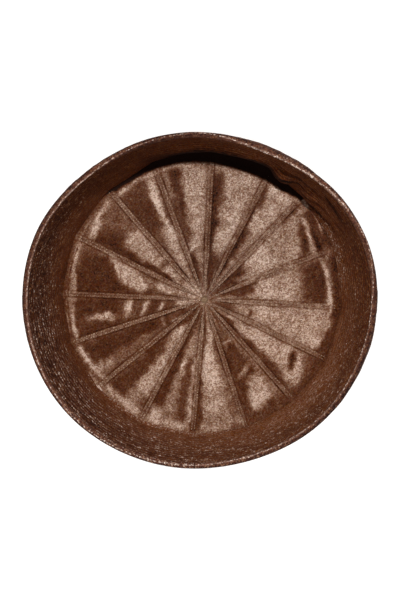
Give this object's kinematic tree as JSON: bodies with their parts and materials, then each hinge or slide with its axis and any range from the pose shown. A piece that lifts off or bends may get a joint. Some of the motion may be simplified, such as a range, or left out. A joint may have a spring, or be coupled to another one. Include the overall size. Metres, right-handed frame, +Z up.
{
  "type": "kippah skullcap",
  "caption": "Round pillbox skullcap of velvet lying on its crown: flat crown of padded wedge gores, stiff quilted band standing round it, folded rim, head opening up.",
  "frame": {"origin": "on the surface that the cap lies on, under the middle of the band", "axes": "+Z up out of the head opening, +X along the cap's slightly longer side, +Y along its slightly shorter side, away from the seam knot's offset"},
  "size_m": [0.1901, 0.1791, 0.055],
  "materials": {
    "crown_velvet": "crushed pile",
    "band_velvet": "stitched pile",
    "knot_thread": "dull thread"
  },
  "bodies": {
    "root": {"crown_gore_01": "crown_velvet", "crown_gore_02": "crown_velvet", "crown_gore_03": "crown_velvet", "crown_gore_04": "crown_velvet", "crown_gore_05": "crown_velvet", "crown_gore_06": "crown_velvet", "crown_gore_07": "crown_velvet", "crown_gore_08": "crown_velvet", "crown_gore_09": "crown_velvet", "crown_gore_10": "crown_velvet", "crown_gore_11": "crown_velvet", "crown_gore_12": "crown_velvet", "crown_gore_13": "crown_velvet", "crown_gore_14": "crown_velvet", "crown_gore_15": "crown_velvet", "crown_gore_16": "crown_velvet", "quilted_band": "band_velvet", "crown_tack": "knot_thread"}
  },
  "joints": []
}
